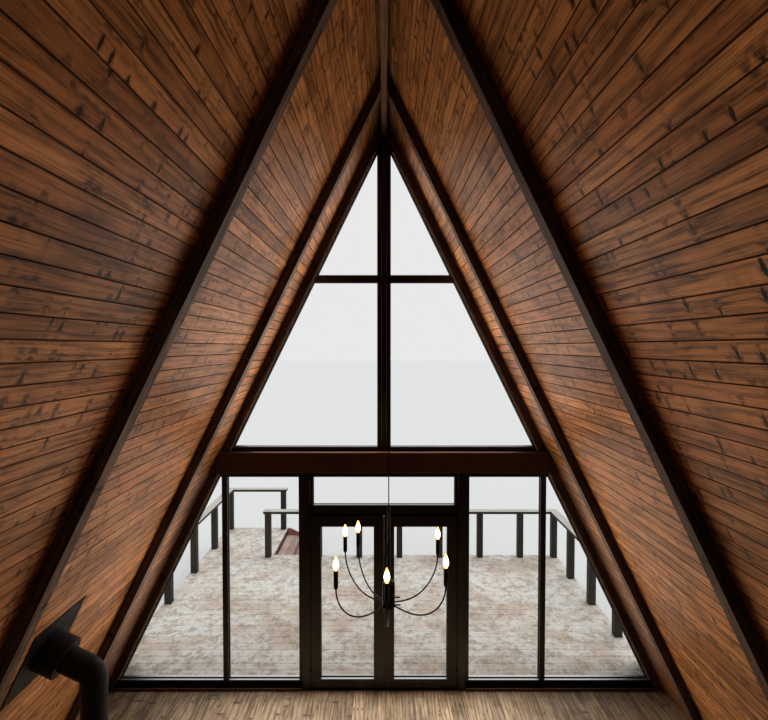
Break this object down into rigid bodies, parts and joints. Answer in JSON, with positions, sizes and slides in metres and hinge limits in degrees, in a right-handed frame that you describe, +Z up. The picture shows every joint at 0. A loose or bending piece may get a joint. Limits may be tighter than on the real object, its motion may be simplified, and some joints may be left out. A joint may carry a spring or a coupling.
{
  "type": "a-frame cabin",
  "caption": "Timber A-frame cabin with a glazed front gable, double doors that open inward, a raised deck with steps and railings, a rear wall with windows, a stove flue and a hanging lamp.",
  "frame": {"origin": "on the ground under the middle of the overall box", "axes": "+Z up; +Y from the glazed front gable towards the rear gable; +X to the right as seen from the deck"},
  "size_m": [7.2792, 15.632, 7.5331],
  "materials": {
    "concrete": "plain cast concrete",
    "dark_timber": "dark stained planed timber",
    "red_timber": "dark red-brown stained timber",
    "stained_boards": "orange-brown stained knotty pine boards",
    "floor_boards": "light wood floor boards",
    "insulation": "mineral wool",
    "roof_metal": "dark coated standing seam sheets",
    "dark_frame": "near-black satin frames",
    "window_glass": "clear double glazing",
    "black_metal": "matt black coated metal",
    "deck_timber": "dark weathered timber",
    "deck_boards": "pale weathered boards",
    "bulb_glass": "warm frosted bulb"
  },
  "bodies": {
    "root": {"piers": "concrete", "floor_beams": "dark_timber", "floor": "floor_boards", "rafters_right": "dark_timber", "rafters_left": "dark_timber", "ridge_beam": "stained_boards", "lining_right": "stained_boards", "lining_left": "stained_boards", "roof_panels_right": "insulation", "roof_panels_left": "insulation", "roof_covering_right": "roof_metal", "roof_covering_left": "roof_metal", "ridge_cap": "roof_metal", "barge_boards": "dark_timber", "front_sill": "dark_frame", "front_tie_beam": "red_timber", "front_rail": "dark_frame", "upper_mullion": "dark_frame", "upper_frames": "dark_frame", "upper_glass": "window_glass", "door_posts": "dark_frame", "lower_frames": "dark_frame", "lower_glass": "window_glass", "door_jambs": "dark_frame", "door_head": "dark_frame", "door_hinges": "black_metal", "rear_tie_beam": "red_timber", "rear_wall": "stained_boards", "rear_window_frames": "dark_frame", "rear_window_glass": "window_glass", "deck_frame": "deck_timber", "deck_boards": "deck_boards", "deck_railing_front": "deck_timber", "deck_railing_right": "deck_timber", "deck_railing_left": "deck_timber", "landing_railing": "deck_timber", "step_stringers": "deck_timber", "step_treads": "deck_boards", "flue_pipe": "black_metal", "flue_plates": "black_metal", "chimney": "black_metal", "lamp_cable": "black_metal", "lamp_hub": "black_metal", "lamp_arms": "black_metal", "lamp_candles": "black_metal", "lamp_bulbs": "bulb_glass"},
    "right_door": {"door_right": "dark_frame", "door_right_glass": "window_glass"},
    "left_door": {"door_left": "dark_frame", "door_left_glass": "window_glass", "door_handle": "black_metal"}
  },
  "joints": [
    {"name": "right_door_hinge", "type": "hinge", "parent": "root", "child": "right_door", "pos_m": [0.863, -2.5065, 1.53], "axis": [0, 0, -1], "range_deg": [0, 100]},
    {"name": "left_door_hinge", "type": "hinge", "parent": "root", "child": "left_door", "pos_m": [-0.863, -2.5065, 1.53], "axis": [0, 0, 1], "range_deg": [0, 100]}
  ]
}
